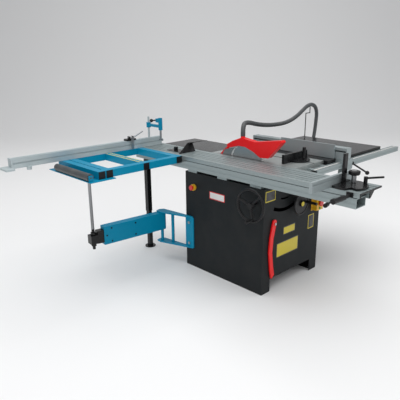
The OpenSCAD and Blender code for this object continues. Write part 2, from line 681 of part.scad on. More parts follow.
module arm_slide() color("#24272a") {
    difference() {
        on_arm() translate([120, -24 + gap, 20 + gap]) cube([rod_l - 145, 48 - 2 * gap, 96 - 2 * gap]);
        on_arm() translate([119, -19, 26]) cube([rod_l - 170, 38, 84]);
    }
    difference() {
        on_arm() translate([rod_l - 25.5, -30, 25]) cube([56, 60, 65]);
        cyl_z(rod_at[0], rod_at[1], arm_z, rod_r, arm_h);
    }
    cyl_z(rod_at[0], rod_at[1], arm_z - 20, rod_r, plate_z - 20.5 - arm_z + 20);
    cyl_z(rod_at[0], rod_at[1], plate_z - 20.5, 20, 20);
    for (z = [arm_z + 5, arm_z + 90]) cyl_z(rod_at[0], rod_at[1], z, 18, 20);
}

// ---- rip fence ----
fence_z = table_h + 1.5;
module rip_carriage() color("#b9c4bf") {
    x0 = fence_x - 8;
    x1 = fence_x + 83;
    box_at([x0, carriage_y, rail_top + gap], [x1, rail_y + rail_d + 1, fence_z]);
    box_at([x0, carriage_y, table_h - 70], [x1, rail_y - gap, fence_z]);
    box_at([x0 + 20, carriage_y, table_h - 94], [x1 - 20, rail_y + 10, table_h - 62]);
    box_at([x0 + 24, rail_y - 4, table_h - 135], [x1 - 24, rail_y + 45, table_h - 62]);
    cyl_x(x1, -560, table_h - 35, 8, 6);
}
module rip_fence_body() color("#aab0b2") {
    along_y(-560, -560 + fence_len) difference() {
        translate([fence_x, fence_z]) square([60, 80]);
        translate([fence_x + 4, fence_z + 4]) square([52, 30]);
        translate([fence_x + 4, fence_z + 42]) square([52, 34]);
        translate([fence_x - 1, fence_z + 50]) square([6, 10]);
    }
    for (y = [-564, -560 + fence_len]) box_at([fence_x - 1, y, fence_z], [fence_x + 61, y + 4, fence_z + 81]);
}
module rip_fence_plate() color("#aab0b2") {
    box_at([fence_x - 16, -478, fence_z + gap], [fence_x - 6, -15, fence_z + 99]);
    for (y = [-400, -120]) {
        cyl_x(fence_x - 8, y, fence_z + 55, 4.5, 12);
        box_at([fence_x - 7, y - 20, fence_z + 62], [fence_x - gap, y + 20, fence_z + 76]);
    }
}
module rip_lever() color("#1b1c1e") {
    x1 = fence_x + 83;
    difference() {
        cyl_x(x1 + gap, -560, table_h - 35, 14, 16);
        cyl_x(x1, -560, table_h - 35, 8 + fit, 8);
    }
    bar([x1 + 12, -560, table_h - 35], [x1 + 92, -640, table_h - 106], 6);
    translate([x1 + 92, -640, table_h - 106]) sphere(r = 15);
}

// ---- mitre gauge on the cast-iron table ----
gauge_y = -331;
module mitre_gauge_bar() color("#9aa1a3") difference() {
    union() {
        box_at([slot_x - slot_w / 2 + 0.1, gauge_y - 100, table_h - 9.9],
               [slot_x + slot_w / 2 - 0.1, gauge_y + 135, table_h - 0.2]);
        cyl_z(slot_x, gauge_y, table_h - 1, 6, 13);
    }
}
module mitre_gauge_head() color("#202327") {
    z = table_h + gap;
    difference() {
        union() {
            along_z(z, z + 12) difference() {
                translate([slot_x, gauge_y]) circle(r = 78, $fn = 96);
                translate([slot_x - 100, gauge_y + 2]) square([200, 100]);
            }
            box_at([slot_x - 163, gauge_y + 2, z], [slot_x + 105, gauge_y + 22, table_h + 62]);
            cyl_z(slot_x, gauge_y, z, 14, 14);
            cyl_z(slot_x + 3, gauge_y - 40, z + 10, 8, 20);
            cyl_z(slot_x + 3, gauge_y - 40, z + 28, 12, 72);
        }
        cyl_z(slot_x, gauge_y, z - 1, 6 + fit, 13);
    }
}

// ---- tilting gear; x and z are measured from the tilt axis ----
module tilt() translate([blade_x, 0, table_h]) children();
module plate_y(y0, y1) along_y(y0, y1) at_axis() children();
arbor_z = -arbor_drop;
module tilt_cradle() color("#6d6a60") difference() {
    union() {
        plate_y(-216, -204) {
            translate([20, -262]) square([50, 222]);
            translate([20, -60]) square([108, 16]);
            polygon([[60, -236], [128, -236], [128, -258], [shaft_x + 20, shaft_z - 6],
                     [shaft_x, shaft_z - 21], [60, -262]]);
            translate([shaft_x, shaft_z]) circle(r = 22);
            polygon([[60, -105], [120, -106], [132, -124], [112, -134], [60, -150]]);
        }
        plate_y(236, 248) translate([20, -262]) square([50, 222]);
        for (y = [-232, 248]) plate_y(y, y + 16) ring_sector(60, trun_in - 0.4, -25, 60);
        tilt() {
            for (y = [[-204, -98], [58, 236]]) box_at([33, y[0], -42], [57, y[1], -24]);
            box_at([20, -216, -42], [57, -200, -24]);
            box_at([20, 232, -42], [57, 248, -24]);
            box_at([33, -204, -262], [57, 236, -242]);
            for (y = col_y) cyl_z(col_x, y, -250, col_r, 220);
            for (z = [-56, -252]) box_at([100, -204, z], [128, -155, z == -56 ? z + 8 : z + 12]);
            for (a = [15, 45]) cyl_y(170 * sin(a), -306, -170 * cos(a), 10, 90);
        }
        plate_y(-318, -306) ring_sector(150, rack_r, -5, 52);
    }
    tilt() {
        cyl_y(shaft_x, -217, shaft_z, shaft_r + fit, 14);
        for (z = [-57, -253]) cyl_z(shaft_x, screw_y, z, shaft_r + fit, 14);
    }
}
wheel_x = left - 58;
module rim(r, t) rotate_extrude($fn = 96) translate([r, 0]) circle(r = t, $fn = 24);
module tilt_wheel() color("#1b1c1e") {
    cyl_x(wheel_x, worm_y, worm_z, shaft_r, -48 - wheel_x);
    cyl_x(-125, worm_y, worm_z, 11.8, 60);
    cyl_x(wheel_x - 12, worm_y, worm_z, 20, 30);
    translate([wheel_x, worm_y, worm_z]) rotate([0, 90, 0]) rim(tilt_wheel_r, 9);
    for (a = [17, 137, 257]) bar([wheel_x, worm_y + 15 * cos(a), worm_z + 15 * sin(a)],
        [wheel_x, worm_y + tilt_wheel_r * cos(a), worm_z + tilt_wheel_r * sin(a)], 8);
    crank = tilt_wheel_r * 0.9;
    cyl_x(wheel_x - 70, worm_y + crank * cos(257), worm_z + crank * sin(257), 11, 64);
}
module lift_wheel() color("#1b1c1e") tilt() {
    cyl_y(shaft_x, -425, shaft_z, shaft_r, 240);
    translate([shaft_x, -190, shaft_z]) rotate([-90, 0, 0]) cylinder(r1 = 20, r2 = 12, h = 8);
    cyl_y(shaft_x, -439, shaft_z, 20, 28);
    translate([shaft_x, -425, shaft_z]) rotate([90, 0, 0]) rim(lift_wheel_r, 7);
    cyl_y(shaft_x, -428, shaft_z, lift_wheel_r, 5);
    cyl_y(shaft_x + lift_wheel_r - 13, -510, shaft_z, 10, 84);
}
module lift_screw() color("#9aa1a3") tilt() {
    cyl_z(shaft_x, screw_y, -258, shaft_r, 212);
    translate([shaft_x, screw_y, -262.6]) cylinder(r1 = 12, r2 = 20, h = 8);
    cyl_z(shaft_x, screw_y, -254.7, 12, 2.4);
}
module lift_carriage() color("#7c7668") tilt() difference() {
    union() {
        for (y = col_y) cyl_z(col_x, y, -95, 22, 50);
        box_at([col_x - 10, col_y[0], -90], [col_x + 10, col_y[1], -50]);
        cyl_x(12, blade_y, arbor_z, 30, 60);
        for (y = [[-142, -112], [72, 102]]) box_at([col_x, y[0], -90], [98, y[1], -60]);
        box_at([98, -142, -300], [104, 102, -45]);
        box_at([96, -192, -90], [132, -142, -60]);
        box_at([8, 93, -95], [col_x, 170, -70]);
        box_at([1.25, 140, -95], [9, 170, -70]);
    }
    for (y = col_y) cyl_z(col_x, y, -96, col_r + fit, 52);
    cyl_x(11, blade_y, arbor_z, arbor_r + fit, 80);
    cyl_x(97, blade_y, motor_z, 14, 8);
    cyl_z(shaft_x, screw_y, -91, shaft_r + fit, 32);
    box_at([70, blade_y - 46, -110], [97, blade_y + 46, -16]);
    for (y = [-50, 6], z = [-165, -140]) cyl_x(97, y, z, 3, 8);
}
module motor() color("#3b3e40") tilt() difference() {
    union() {
        cyl_x(104, blade_y, motor_z, motor_r, 190);
        cyl_x(294, blade_y, motor_z, motor_r - 8, 16);
        box_at([130, blade_y - 94, motor_z - 30], [230, blade_y - 60, motor_z + 30]);
    }
    cyl_x(103, blade_y, motor_z, 12 + fit, 208);
    cyl_x(122, blade_y, motor_z, 46, 160);
}
module motor_rotor() color("#9aa1a3") tilt() {
    cyl_x(76, blade_y, motor_z, 12, 230);
    cyl_x(76, blade_y, motor_z, 42, 20);
    cyl_x(128, blade_y, motor_z, 44, 148);
}
// Loop about two pulleys, with the straight runs tangent to both
module loop(r1, r2) {
    b = asin((r2 - r1) / (arbor_z - motor_z));
    c1 = [blade_y, table_h + arbor_z];
    c2 = [blade_y, table_h + motor_z];
    polygon(concat(
        [for (i = [0:24]) let (a = b + (180 - 2 * b) * i / 24) c1 + r1 * [cos(a), sin(a)]],
        [for (i = [0:24]) let (a = 180 - b + (180 + 2 * b) * i / 24) c2 + r2 * [cos(a), sin(a)]]
    ));
}
module drive_belt() color("#1b1c1e") along_x(blade_x + 79, blade_x + 93) difference() {
    loop(37.3, 47.3);
    loop(32.3, 42.3);
}
module arbor() color("#9aa1a3") tilt() {
    cyl_x(-4, blade_y, arbor_z, arbor_r, 100);
    cyl_x(blade_t / 2, blade_y, arbor_z, 33, 9);
    cyl_x(-9.5, blade_y, arbor_z, 33, 9.5 - blade_t / 2);
    translate([-22, blade_y, arbor_z]) rotate([0, 90, 0]) cylinder(r = 14, h = 13, $fn = 6);
    cyl_x(76, blade_y, arbor_z, 32, 20);
}
module saw_blade() color("#c9cdcf") tilt() {
    pitch = 360 / teeth;
    translate([-blade_t / 2, blade_y, arbor_z]) rotate([90, 0, 90]) linear_extrude(blade_t) difference() {
        polygon([for (i = [0:teeth - 1]) for (p = [[0, blade_r], [0.28, blade_r - 2], [0.4, blade_r - 11],
            [0.78, blade_r - 10]]) p[1] * [cos((i + p[0]) * pitch), sin((i + p[0]) * pitch)]]);
        circle(r = arbor_r + fit);
        for (i = [0:3]) rotate(90 * i + 20) translate([blade_r - 24, 0]) square([16, 2]);
    }
}
module riving_knife() color("#9aa1a3") tilt() along_x(-1.25, 1.25) difference() {
    polygon([[80, 66], [92, 62], [192, 38], [227, -16], [205, -60], [172, -96], [120, -96]]);
    translate([blade_y, arbor_z]) circle(r = blade_r + 4, $fn = 120);
    translate([128, 44]) circle(r = 3);
}
module blade_guard() color("#d3202a") tilt() {
    w = guard_t / 2;
    difference() {
        union() {
            along_x(-w, w) polygon([[154, 82], [93, 115], [17, 145], [-106, 129], [-130, 132], [-332, 165],
                [-340, 152], [-231, 32], [-161, 26], [-97, 59], [-22, 84], [44, 84], [112, 65], [146, 59]]);
            intersection() {
                cyl_z(0, 17, 120, 16, 40);
                cyl_y(0, -10, 0, spigot_top - table_h, 60);
            }
        }
        along_x(-w + 3, w - 3) polygon([[142, 55], [142, 77], [91, 110], [16, 140], [-106, 124], [-131, 127],
            [-327, 159], [-332, 151], [-226, 35], [-224, 10], [112, 10]]);
        cyl_z(0, 17, 110, 13, 60);
    }
    along_x(1.8, 4.8) polygon([[176, -60], [236, -60], [236, 2], [205, 32], [152, 76], [118, 76], [118, 68],
        [150, 56], [176, 10]]);
    box_at([4.8, 118, 66], [w - 2, 141, 75]);
    box_at([1.8, 228, -60], [33, 236, -43]);
}

cabinet_left_panel();
cabinet_right_panel();
cabinet_front_panel();
cabinet_rear_panel();
cabinet_frame();
cast_iron_table();
table_insert();
rear_extension();
right_extension();
rip_rail();
slide_base();
rear_leg();
trunnion_rings();
dust_port();
extraction_hose();
switch_boxes();
machine_bolts();
sliding_table();
slide_bearings();
push_handle();
table_lock_lever();
outrigger_frame();
end_plugs();
support_roller();
crosscut_fence();
stop_head();
flip_stop();
clamp_arm();
clamp_lever();
clamp_plunger();
mitre_table();
mitre_fence();
mitre_knob();
mitre_lever();
edging_shoe();
arm_bracket();
swing_arm();
arm_slide();
rip_carriage();
rip_fence_body();
rip_fence_plate();
rip_lever();
mitre_gauge_bar();
mitre_gauge_head();
tilt_cradle();
tilt_wheel();
lift_wheel();
lift_screw();
lift_carriage();
motor();
motor_rotor();
drive_belt();
arbor();
saw_blade();
riving_knife();
blade_guard();
push_stick();
emergency_button();
stop_button();
start_button();
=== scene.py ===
"""Sliding-table panel saw: finishes, fine detail, hose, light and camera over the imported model."""
import json
import math

import bmesh
import bpy
import numpy as np
from mathutils import Matrix, Vector

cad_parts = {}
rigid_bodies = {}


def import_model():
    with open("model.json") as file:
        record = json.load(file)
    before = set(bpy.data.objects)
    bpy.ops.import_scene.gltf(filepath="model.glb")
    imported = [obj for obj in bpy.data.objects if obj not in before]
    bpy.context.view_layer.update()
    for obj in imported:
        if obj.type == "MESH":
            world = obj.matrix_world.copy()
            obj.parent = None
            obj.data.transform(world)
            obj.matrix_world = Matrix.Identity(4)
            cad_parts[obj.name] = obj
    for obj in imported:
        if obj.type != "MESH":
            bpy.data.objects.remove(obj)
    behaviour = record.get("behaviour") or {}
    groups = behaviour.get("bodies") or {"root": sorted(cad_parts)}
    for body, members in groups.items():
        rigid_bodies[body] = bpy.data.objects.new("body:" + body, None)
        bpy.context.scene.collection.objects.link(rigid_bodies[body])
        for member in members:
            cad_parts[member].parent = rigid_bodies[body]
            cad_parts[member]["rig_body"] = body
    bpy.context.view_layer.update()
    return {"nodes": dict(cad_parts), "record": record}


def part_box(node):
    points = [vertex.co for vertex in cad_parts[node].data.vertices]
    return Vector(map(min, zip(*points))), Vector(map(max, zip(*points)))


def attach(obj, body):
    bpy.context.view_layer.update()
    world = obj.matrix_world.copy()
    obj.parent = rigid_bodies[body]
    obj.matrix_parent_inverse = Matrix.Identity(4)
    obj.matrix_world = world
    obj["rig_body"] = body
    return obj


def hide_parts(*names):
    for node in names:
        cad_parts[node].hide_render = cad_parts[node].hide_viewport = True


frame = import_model()
nodes = frame["nodes"]


# ---------------------------------------------------------------- camera
CAMERA_AT = (-2.6284, -2.2022, 1.5838)
CAMERA_FORWARD = (0.6581, 0.6931, -0.2940)
CAMERA_ROLL = 0.5075  # degrees about the forward line
LENS_MM = 42.73
SENSOR_MM = 36
VIEW_END = 60  # metres


def aim_camera():
    """Places the camera from its position, its forward line and a small roll about it."""
    cam = bpy.data.objects.new("camera", bpy.data.cameras.new("camera"))
    bpy.context.scene.collection.objects.link(cam)
    forward = Vector(CAMERA_FORWARD).normalized()
    right = Vector((forward.y, -forward.x, 0)).normalized()
    up = right.cross(forward)
    roll = math.radians(CAMERA_ROLL)
    right, up = (
        right * math.cos(roll) - up * math.sin(roll),
        up * math.cos(roll) + right * math.sin(roll),
    )
    turn = Matrix((right, up, -forward)).transposed()
    cam.matrix_world = Matrix.Translation(CAMERA_AT) @ turn.to_4x4()
    cam.data.lens = LENS_MM
    cam.data.sensor_width = SENSOR_MM
    cam.data.clip_end = VIEW_END
    bpy.context.scene.camera = cam


aim_camera()


# ---------------------------------------------------------------- mesh makers
SMOOTH_LIMIT = math.radians(35)  # edges of new pieces that turn by more than this stay sharp
CAD_SMOOTH_LIMIT = math.radians(30)  # the same for copies of CAD solids
BEVEL_LIMIT = math.radians(40)  # edges that turn by more than this are rounded


def grid_mesh(name, points, closed=False, caps=False):
    """A surface from an array of points [rows, columns, 3]: quads join each point to the next in
    both directions. A closed one joins each row's end to its start; caps fill the end rows."""
    rows, cols = points.shape[:2]
    u = np.arange(rows - 1)
    v = np.arange(cols if closed else cols - 1)
    a, b = np.meshgrid(u, v, indexing="ij")
    a2, b2 = a + 1, (b + 1) % cols
    quads = np.stack([a * cols + b, a * cols + b2, a2 * cols + b2, a2 * cols + b], -1)
    faces = quads.reshape(-1, 4).tolist()
    if caps:
        faces.append(list(range(cols))[::-1])
        faces.append(list(range((rows - 1) * cols, rows * cols)))
    mesh = bpy.data.meshes.new(name)
    mesh.from_pydata(points.reshape(-1, 3), [], faces)
    obj = bpy.data.objects.new(name, mesh)
    bpy.context.scene.collection.objects.link(obj)
    face_out(obj)
    return obj


def shade_smooth(bm, limit):
    """Shades every face smooth and keeps sharp the edges that turn by more than the limit."""
    for edge in bm.edges:
        edge.smooth = len(edge.link_faces) == 2 and edge.calc_face_angle(0) < limit
    for face in bm.faces:
        face.smooth = True


def face_out(obj):
    """Turns every face of a new piece outwards and shades it."""
    bm = bmesh.new()
    bm.from_mesh(obj.data)
    bmesh.ops.remove_doubles(bm, verts=bm.verts, dist=1e-6)
    bmesh.ops.recalc_face_normals(bm, faces=bm.faces)
    shade_smooth(bm, SMOOTH_LIMIT)
    bm.to_mesh(obj.data)
    bm.free()


def axes_for(direction):
    """A direction at unit length, and two unit vectors square to it and to each other."""
    d = np.array(direction, float)
    d /= np.linalg.norm(d)
    side = np.cross(d, [0, 0, 1.0] if abs(d[2]) < 0.9 else [0, 1.0, 0])
    side /= np.linalg.norm(side)
    return d, side, np.cross(side, d)


def turned(name, centre, axis, profile, sides=48, lobes=0, depth=0.0):
    """A turned piece: a profile of (radius, height) carried round an axis. With lobes, the radius
    is scaled by 1 + depth * cos(lobes * angle), as on a hand knob."""
    d, s, t = axes_for(axis)
    prof = np.array(profile, float)
    ang = np.linspace(0, 2 * np.pi, sides, endpoint=False)
    scale = 1 + depth * np.cos(lobes * ang)
    ring = np.cos(ang)[:, None] * s + np.sin(ang)[:, None] * t
    pts = (
        np.array(centre, float)
        + prof[:, None, 1:2] * d
        + prof[:, None, 0:1] * scale[None, :, None] * ring[None]
    )
    return grid_mesh(name, pts, closed=True, caps=True)


def plate(name, centre, out, up, width, height, thick, radius=0.004):
    """A flat plate with rounded corners: a rounded-rectangle outline stepped through its thickness,
    with a small chamfer at the front edge."""
    n = np.array(out, float) / np.linalg.norm(out)
    v = np.array(up, float) / np.linalg.norm(up)
    u = np.cross(v, n)
    ang = np.linspace(0, np.pi / 2, 7)
    corners = []
    for k, (sx, sy) in enumerate([(1, 1), (-1, 1), (-1, -1), (1, -1)]):
        a = ang + k * np.pi / 2
        corners.append(
            np.stack(
                [
                    sx * (width / 2 - radius) + radius * np.cos(a),
                    sy * (height / 2 - radius) + radius * np.sin(a),
                ],
                1,
            )
        )
    line = np.concatenate(corners)
    layers = []
    for shrink, lift in ((0, 0), (0, thick * 0.7), (thick * 0.3, thick)):
        k = 1 - shrink / (min(width, height) / 2)
        layers.append(line[:, 0:1] * k * u + line[:, 1:2] * k * v + lift * n)
    return grid_mesh(name, np.array(centre, float) + np.array(layers), closed=True, caps=True)


def smooth_line(points, step):
    """Catmull-Rom curve through the points: each span is the cubic of its two ends and their
    neighbours. Returned at even steps along its length, with that length."""
    p = np.array(points, float)
    p = np.vstack([2 * p[0] - p[1], p, 2 * p[-1] - p[-2]])
    t = np.linspace(0, 1, 24, endpoint=False)[:, None]
    out = []
    for i in range(1, len(p) - 2):
        a, b, c, d = p[i - 1], p[i], p[i + 1], p[i + 2]
        out.append(
            0.5 * (2 * b + (c - a) * t + (2 * a - 5 * b + 4 * c - d) * t**2
                   + (3 * b - a - 3 * c + d) * t**3)
        )
    q = np.vstack(out + [p[-2:-1]])
    s = np.concatenate([[0], np.cumsum(np.linalg.norm(np.diff(q, axis=0), axis=1))])
    even = np.linspace(0, s[-1], max(8, int(round(s[-1] / step)) + 1))
    return np.stack([np.interp(even, s, q[:, k]) for k in range(3)], 1), s[-1]


def swept(name, line, radii, sides):
    """A tube along a line: rings square to the line, whose frame is carried from ring to ring by
    turning it as little as possible, with one radius for each ring."""
    tangent = np.gradient(line, axis=0)
    tangent /= np.linalg.norm(tangent, axis=1)[:, None]
    side = axes_for(tangent[0])[1]
    frames = []
    for t in tangent:
        side = side - t * side.dot(t)
        side /= np.linalg.norm(side)
        frames.append((side, np.cross(t, side)))
    frames = np.array(frames)
    ang = np.linspace(0, 2 * np.pi, sides, endpoint=False)
    pts = line[:, None] + np.array(radii)[:, None, None] * (
        np.cos(ang)[None, :, None] * frames[:, None, 0]
        + np.sin(ang)[None, :, None] * frames[:, None, 1]
    )
    return grid_mesh(name, pts, closed=True, caps=True)


# ---------------------------------------------------------------- finishes
def new_group(name, inputs, outputs):
    """A shader node group with named inputs (name, kind, default) and outputs (name, kind)."""
    g = bpy.data.node_groups.new(name, "ShaderNodeTree")
    for n, kind, value in inputs:
        s = g.interface.new_socket(n, in_out="INPUT", socket_type=kind)
        s.default_value = value
    for n, kind in outputs:
        g.interface.new_socket(n, in_out="OUTPUT", socket_type=kind)
    return g, g.nodes.new("NodeGroupInput"), g.nodes.new("NodeGroupOutput")


def add(tree, kind, values=None, **settings):
    """A node with its settings, and values for its named inputs; a value may be a socket."""
    node = tree.nodes.new(kind)
    for k, v in settings.items():
        setattr(node, k, v)
    for k, v in (values or {}).items():
        if isinstance(v, bpy.types.NodeSocket):
            tree.links.new(v, node.inputs[k])
        else:
            node.inputs[k].default_value = v
    return node


def make_grain_group():
    """Fine noise on stretched coordinates, which is the height, and its product with a broad noise
    on plain ones, which is the mask."""
    g, gin, gout = new_group(
        "surface_grain",
        [("Stretch", "NodeSocketVector", (1, 1, 1)), ("Scale", "NodeSocketFloat", 40.0)],
        [("Mask", "NodeSocketFloat"), ("Height", "NodeSocketFloat")],
    )
    co = add(g, "ShaderNodeTexCoord")
    mul = add(g, "ShaderNodeVectorMath", {0: co.outputs["Object"], 1: gin.outputs["Stretch"]},
              operation="MULTIPLY")
    fine = add(g, "ShaderNodeTexNoise", {"Vector": mul.outputs[0], "Scale": gin.outputs["Scale"],
                                         "Detail": 6.0, "Roughness": 0.6})
    wide = add(g, "ShaderNodeTexNoise", {"Vector": co.outputs["Object"], "Scale": 3.5, "Detail": 3.0})
    mix = add(g, "ShaderNodeMath", {0: fine.outputs["Fac"], 1: wide.outputs["Fac"]},
              operation="MULTIPLY_ADD")
    mix.inputs[2].default_value = 0.12
    ramp = add(g, "ShaderNodeMapRange", {"Value": mix.outputs[0], "From Min": 0.2, "From Max": 0.6,
                                         "To Min": 0.0, "To Max": 1.0})
    g.links.new(ramp.outputs[0], gout.inputs["Mask"])
    g.links.new(fine.outputs["Fac"], gout.inputs["Height"])
    return g


def make_dust_group():
    """Dust and light scuffs: broad noise, stronger on faces that look up, thresholded to soft
    patches. Mixed into a colour and a roughness."""
    g, gin, gout = new_group(
        "workshop_dust",
        [("Colour", "NodeSocketColor", (0.5, 0.5, 0.5, 1)), ("Roughness", "NodeSocketFloat", 0.4),
         ("Amount", "NodeSocketFloat", 0.15)],
        [("Colour", "NodeSocketColor"), ("Roughness", "NodeSocketFloat")],
    )
    co = add(g, "ShaderNodeTexCoord")
    geo = add(g, "ShaderNodeNewGeometry")
    z = add(g, "ShaderNodeSeparateXYZ", {0: geo.outputs["Normal"]})
    up = add(g, "ShaderNodeMapRange", {"Value": z.outputs["Z"], "From Min": -0.2, "From Max": 1.0,
                                       "To Min": 0.25, "To Max": 1.0})
    noise = add(g, "ShaderNodeTexNoise", {"Vector": co.outputs["Object"], "Scale": 9.0,
                                          "Detail": 8.0, "Roughness": 0.65})
    patch = add(g, "ShaderNodeMapRange", {"Value": noise.outputs["Fac"], "From Min": 0.42,
                                          "From Max": 0.72, "To Min": 0.0, "To Max": 1.0})
    a = add(g, "ShaderNodeMath", {0: patch.outputs[0], 1: up.outputs[0]}, operation="MULTIPLY")
    f = add(g, "ShaderNodeMath", {0: a.outputs[0], 1: gin.outputs["Amount"]}, operation="MULTIPLY")
    mix = add(g, "ShaderNodeMix", data_type="RGBA")
    g.links.new(f.outputs[0], mix.inputs[0])
    g.links.new(gin.outputs["Colour"], mix.inputs[6])
    mix.inputs[7].default_value = (0.52, 0.47, 0.40, 1)
    rough = add(g, "ShaderNodeMath", {0: f.outputs[0], 1: 0.5, 2: gin.outputs["Roughness"]},
                operation="MULTIPLY_ADD")
    g.links.new(mix.outputs[2], gout.inputs["Colour"])
    g.links.new(rough.outputs[0], gout.inputs["Roughness"])
    return g


GRAIN = make_grain_group()
DUST = make_dust_group()


def finish_of(name, colour, rough, metallic=0.0, stretch=(1, 1, 1), scale=60.0, bump=0.1,
              vary=0.12, dust=0.1, coat=0.0, depth=0.0004, gloss=0.5):
    """A finish: its colour varied by grain, dust over it, grain in the roughness and the bump."""
    mat = bpy.data.materials.new(name)
    mat.use_nodes = True
    t = mat.node_tree
    shader = t.nodes["Principled BSDF"]
    grain = add(t, "ShaderNodeGroup", node_tree=GRAIN)
    grain.inputs["Stretch"].default_value = stretch
    grain.inputs["Scale"].default_value = scale
    tone = add(t, "ShaderNodeMix", data_type="RGBA")
    t.links.new(grain.outputs["Mask"], tone.inputs[0])
    dark = [c * (1 - vary) for c in colour]
    light = [min(1, c * (1 + vary)) for c in colour]
    tone.inputs[6].default_value = (*dark, 1)
    tone.inputs[7].default_value = (*light, 1)
    r = add(t, "ShaderNodeMapRange", {"Value": grain.outputs["Mask"], "From Min": 0.0,
                                      "From Max": 1.0, "To Min": rough * 0.85, "To Max": rough * 1.2})
    d = add(t, "ShaderNodeGroup", node_tree=DUST)
    t.links.new(tone.outputs[2], d.inputs["Colour"])
    t.links.new(r.outputs[0], d.inputs["Roughness"])
    d.inputs["Amount"].default_value = dust
    t.links.new(d.outputs["Colour"], shader.inputs["Base Color"])
    t.links.new(d.outputs["Roughness"], shader.inputs["Roughness"])
    shader.inputs["Metallic"].default_value = metallic
    shader.inputs["Specular IOR Level"].default_value = gloss
    shader.inputs["Coat Weight"].default_value = coat
    shader.inputs["Coat Roughness"].default_value = 0.12
    b = add(t, "ShaderNodeBump", {"Height": grain.outputs["Height"], "Strength": bump,
                                  "Distance": depth})
    t.links.new(b.outputs[0], shader.inputs["Normal"])
    return mat


F = {
    "painted_cabinet": finish_of("cabinet_powder_coat", (0.011, 0.0135, 0.015), 0.55, scale=900,
                                 bump=0.35, vary=0.1, dust=0.03, depth=0.0003, gloss=0.2),
    "painted_black": finish_of("black_paint", (0.006, 0.006, 0.007), 0.25, scale=500, bump=0.08,
                               dust=0.02, coat=0.05, gloss=0.3),
    "blue_paint": finish_of("turquoise_paint", (0.0002, 0.25, 0.42), 0.38, scale=380, bump=0.12,
                            vary=0.06, dust=0.01, coat=0.03, gloss=0.15),
    "cast_iron_ground": finish_of("ground_iron", (0.42, 0.45, 0.445), 0.42, 0.75,
                                  stretch=(3, 60, 3), scale=12, bump=0.2, vary=0.12, dust=0.1),
    "cast_iron_raw": finish_of("rough_casting", (0.13, 0.125, 0.115), 0.75, 0.3, scale=260,
                               bump=0.6, vary=0.25, dust=0.2, depth=0.0008),
    "anodised": finish_of("drawn_aluminium", (0.33, 0.385, 0.39), 0.42, 0.6, stretch=(90, 0.3, 90),
                          scale=8, bump=0.1, vary=0.05, dust=0.04),
    "anodised_grey": finish_of("satin_aluminium", (0.36, 0.41, 0.42), 0.46, 0.5,
                               stretch=(1.5, 60, 90), scale=8, bump=0.12, vary=0.07, dust=0.04),
    "machined_steel": finish_of("turned_steel", (0.40, 0.41, 0.42), 0.3, 0.95, stretch=(20, 20, 80),
                                scale=14, bump=0.15, dust=0.05),
    "zinc_steel": finish_of("zinc_plate", (0.42, 0.43, 0.43), 0.38, 0.9, scale=120, bump=0.1),
    "black_plastic": finish_of("moulded_black", (0.006, 0.006, 0.007), 0.35, scale=700, bump=0.2,
                               dust=0.02, gloss=0.3),
    "hose_plastic": finish_of("hose_grey", (0.06, 0.066, 0.07), 0.45, scale=160, bump=0.1, dust=0.12),
    "yellow_plastic": finish_of("moulded_yellow", (0.75, 0.42, 0.015), 0.34, scale=420, bump=0.08,
                                vary=0.05, dust=0.04, coat=0.2),
    "red_plastic": finish_of("moulded_red", (0.62, 0.012, 0.010), 0.3, scale=420, bump=0.08,
                             vary=0.05, dust=0.03, coat=0.3),
    "red_plastic_guard": finish_of("guard_red", (0.85, 0.006, 0.008), 0.36, scale=420, bump=0.1,
                                   vary=0.05, dust=0.02, coat=0.06, gloss=0.35),
    "green_plastic": finish_of("moulded_green", (0.02, 0.30, 0.06), 0.3, scale=420, bump=0.08),
    "rubber_black": finish_of("belt_rubber", (0.012, 0.012, 0.012), 0.7, scale=500, bump=0.4),
    "cross_grain": finish_of("cross_grain_aluminium", (0.36, 0.41, 0.42), 0.46, 0.5,
                             stretch=(60, 1.5, 90), scale=8, bump=0.12, vary=0.07, dust=0.04),
    "pale_fence": finish_of("pale_fence_aluminium", (0.50, 0.57, 0.585), 0.46, 0.4,
                            stretch=(0.4, 60, 90), scale=8, bump=0.1, vary=0.05, dust=0.03),
    "sticker_yellow": finish_of("plate_yellow", (0.62, 0.50, 0.03), 0.42, scale=300, bump=0.03,
                                vary=0.03, dust=0.05),
    "sticker_white": finish_of("plate_white", (0.72, 0.72, 0.70), 0.4, scale=300, bump=0.03,
                               vary=0.03, dust=0.05),
    "sticker_dark": finish_of("plate_dark", (0.03, 0.03, 0.035), 0.35, scale=300, bump=0.03),
}


ARBOR_AT = (0, 0.022, -0.818)  # takes the arbor's line to the origin
TIP_START, TIP_END = 0.1535, 0.1545  # the tips' tone begins and is full at these radii


